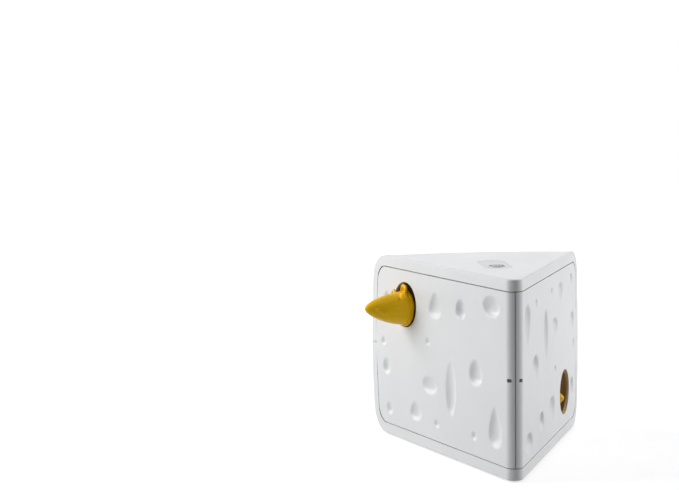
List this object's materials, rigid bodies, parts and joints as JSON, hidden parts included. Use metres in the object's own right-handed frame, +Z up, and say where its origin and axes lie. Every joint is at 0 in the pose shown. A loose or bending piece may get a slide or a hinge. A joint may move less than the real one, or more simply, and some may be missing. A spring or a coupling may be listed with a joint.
{
  "type": "cat toy",
  "caption": "Cheese wedge cat toy: dimpled moulded panels with a round hole each, and pointed mouse heads on geared racks that slip out and back.",
  "frame": {"origin": "middle of the near foot's underside, on the housing's plane of symmetry and on the floor plane", "axes": "+Y from the near corner to the rind, +Z up, +X to the side with the lower mouse hole"},
  "size_m": [0.2396, 0.2712, 0.1936],
  "materials": {
    "white_housing": "satin moulded plastic",
    "brown_inner": "matt moulded plastic",
    "yellow_mouse": "smooth moulded plastic",
    "pale_grey": "satin moulded plastic",
    "natural_acetal": "bare moulded acetal",
    "black_acetal": "bare moulded acetal",
    "steel": "bright zinc plate",
    "brass": "turned",
    "circuit_green": "solder mask",
    "cell_jacket": "printed sleeve with no text",
    "foot_rubber": "matt"
  },
  "bodies": {
    "housing": {"top_shell": "white_housing", "bottom_shell": "white_housing", "left_panel": "white_housing", "right_panel": "white_housing", "corner_post": "brown_inner", "upper_sleeve": "brown_inner", "lower_sleeve": "brown_inner", "idler_axle_2": "steel", "idler_axle_1": "steel", "motor": "steel", "mechanism_deck": "pale_grey", "gear_cover": "pale_grey", "shaft_bush_lower": "brass", "shaft_bush_upper": "brass", "circuit_board": "circuit_green", "button_switch": "black_acetal", "button_pad": "pale_grey", "battery_tray": "white_housing", "battery_cell_1": "cell_jacket", "battery_cell_2": "cell_jacket", "battery_cell_3": "cell_jacket", "battery_cell_4": "cell_jacket", "battery_contacts_far": "steel", "battery_contacts_near": "steel", "housing_screw_1": "steel", "housing_screw_2": "steel", "housing_screw_3": "steel", "deck_screw_1": "steel", "deck_screw_2": "steel", "deck_screw_3": "steel", "deck_screw_4": "steel", "cover_screw_1": "steel", "cover_screw_2": "steel", "cover_screw_3": "steel", "cover_screw_4": "steel", "foot_near": "foot_rubber", "foot_far_left": "foot_rubber", "foot_far_right": "foot_rubber"},
    "drive": {"drive_shaft": "steel", "drive_gear": "natural_acetal", "upper_pinion": "black_acetal", "lower_pinion": "black_acetal"},
    "second_reduction": {"reduction_gear_2": "natural_acetal"},
    "first_reduction": {"reduction_gear_1": "natural_acetal"},
    "motor_rotor": {"motor_shaft": "steel", "motor_pinion": "brass"},
    "upper_mouse": {"upper_mouse_head": "yellow_mouse", "upper_rack": "natural_acetal"},
    "lower_mouse": {"lower_mouse_head": "yellow_mouse", "lower_rack": "natural_acetal"},
    "button": {"power_button": "pale_grey"},
    "battery_cover": {"battery_door": "white_housing", "battery_door_screw": "steel"}
  },
  "joints": [
    {"name": "drive_turn", "type": "hinge", "parent": "housing", "child": "drive", "pos_m": [0, 0.14051, 0.0988], "axis": [0, 0, -1], "range_deg": [0, 150]},
    {"name": "upper_mouse_slide", "type": "slide", "parent": "housing", "child": "upper_mouse", "axis": [-0.917, -0.3798, 0.1219], "range_m": [-0.04758, 0]},
    {"name": "lower_mouse_slide", "type": "slide", "parent": "housing", "child": "lower_mouse", "axis": [0.917, -0.3798, 0.1219], "range_m": [0, 0.04758]},
    {"name": "second_reduction_turn", "type": "hinge", "parent": "housing", "child": "second_reduction", "pos_m": [0, 0.10751, 0.0988], "axis": [0, 0, -1], "range_deg": [-677, 0]},
    {"name": "first_reduction_turn", "type": "hinge", "parent": "housing", "child": "first_reduction", "pos_m": [0, 0.08351, 0.0928], "axis": [0, 0, -1], "range_deg": [0, 2027]},
    {"name": "motor_turn", "type": "hinge", "parent": "housing", "child": "motor_rotor", "pos_m": [0, 0.05951, 0.0868], "axis": [0, 0, -1], "range_deg": [-6077, 0]},
    {"name": "button_press", "type": "slide", "parent": "housing", "child": "button", "axis": [0, 0, -1], "range_m": [0, 0.001], "stiffness_N_per_m": 800, "springref_m": -0.0004},
    {"name": "battery_cover_lift_off", "type": "slide", "parent": "housing", "child": "battery_cover", "axis": [0, 0, -1], "range_m": [0, 0.012]}
  ],
  "couplings": [
    {"joint": "upper_mouse_slide", "follows": "drive_turn", "m_per_rad": -0.018135},
    {"joint": "lower_mouse_slide", "follows": "drive_turn", "m_per_rad": 0.018135},
    {"joint": "second_reduction_turn", "follows": "drive_turn", "ratio": -4.5},
    {"joint": "first_reduction_turn", "follows": "drive_turn", "ratio": 13.5},
    {"joint": "motor_turn", "follows": "drive_turn", "ratio": -40.5}
  ]
}
